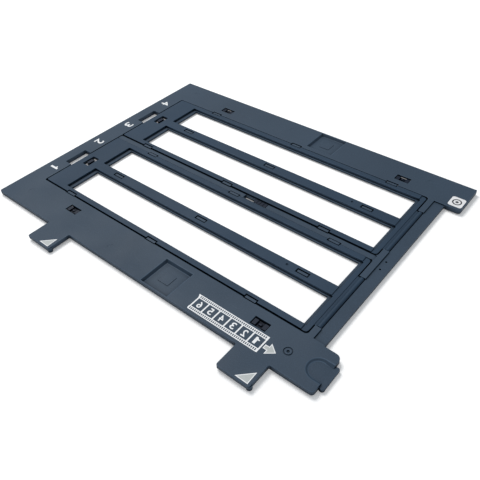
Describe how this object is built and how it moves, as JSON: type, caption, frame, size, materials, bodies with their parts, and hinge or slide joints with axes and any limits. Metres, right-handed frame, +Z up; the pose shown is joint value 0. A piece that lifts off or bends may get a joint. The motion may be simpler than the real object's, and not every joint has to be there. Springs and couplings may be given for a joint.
{
  "type": "film strip negative carrier",
  "caption": "Flat moulded carrier that holds strips of 35 mm film in long windows under hinged, latched covers, for a flatbed scanner.",
  "frame": {"origin": "centre of the footprint, on the surface the carrier stands on", "axes": "+X along the film strips towards the hinge side, +Y away from the two locating tabs, +Z up"},
  "size_m": [0.3026, 0.2406, 0.0046],
  "materials": {
    "frame_plastic": "fine moulded grain, dark blue-grey",
    "cover_plastic": "fine moulded grain, dark blue-grey",
    "clip_plastic": "smooth dark moulding",
    "pin_steel": "drawn steel wire",
    "white_print": "matt white print"
  },
  "bodies": {
    "frame": {"base_frame": "frame_plastic", "front_hinge_pin": "pin_steel", "rear_hinge_pin": "pin_steel", "corner_label": "white_print"},
    "front_cover": {"front_cover": "cover_plastic"},
    "rear_cover": {"rear_cover": "cover_plastic"},
    "front_latch": {"front_cover_latch": "clip_plastic"},
    "rear_latch": {"rear_cover_latch": "clip_plastic"},
    "front_left_foot": {"front_left_height_foot": "clip_plastic"},
    "front_right_foot": {"front_right_height_foot": "clip_plastic"},
    "rear_left_foot": {"rear_left_height_foot": "clip_plastic"},
    "rear_right_foot": {"rear_right_height_foot": "clip_plastic"},
    "middle_slider": {"middle_height_slider": "clip_plastic"}
  },
  "joints": [
    {"name": "front_cover_hinge", "type": "hinge", "parent": "frame", "child": "front_cover", "pos_m": [0.1257, -0.03655, 0.00275], "axis": [0, 1, 0], "range_deg": [0, 130]},
    {"name": "rear_cover_hinge", "type": "hinge", "parent": "frame", "child": "rear_cover", "pos_m": [0.1257, 0.04645, 0.00275], "axis": [0, 1, 0], "range_deg": [0, 130]},
    {"name": "front_latch_flex", "type": "hinge", "parent": "frame", "child": "front_latch", "pos_m": [-0.1205, -0.0315, 0.00205], "axis": [0, 1, 0], "range_deg": [0, 6], "stiffness_Nm_per_rad": 0.02},
    {"name": "rear_latch_flex", "type": "hinge", "parent": "frame", "child": "rear_latch", "pos_m": [-0.1205, 0.0515, 0.00205], "axis": [0, 1, 0], "range_deg": [0, 6], "stiffness_Nm_per_rad": 0.02},
    {"name": "front_left_foot_height", "type": "slide", "parent": "frame", "child": "front_left_foot", "axis": [0, 0, -1], "range_m": [0, 0.001]},
    {"name": "front_right_foot_height", "type": "slide", "parent": "frame", "child": "front_right_foot", "axis": [0, 0, -1], "range_m": [0, 0.001]},
    {"name": "rear_left_foot_height", "type": "slide", "parent": "frame", "child": "rear_left_foot", "axis": [0, 0, -1], "range_m": [0, 0.001]},
    {"name": "rear_right_foot_height", "type": "slide", "parent": "frame", "child": "rear_right_foot", "axis": [0, 0, -1], "range_m": [0, 0.001]},
    {"name": "middle_slider_travel", "type": "slide", "parent": "frame", "child": "middle_slider", "axis": [-1, 0, 0], "range_m": [0, 0.009]}
  ]
}
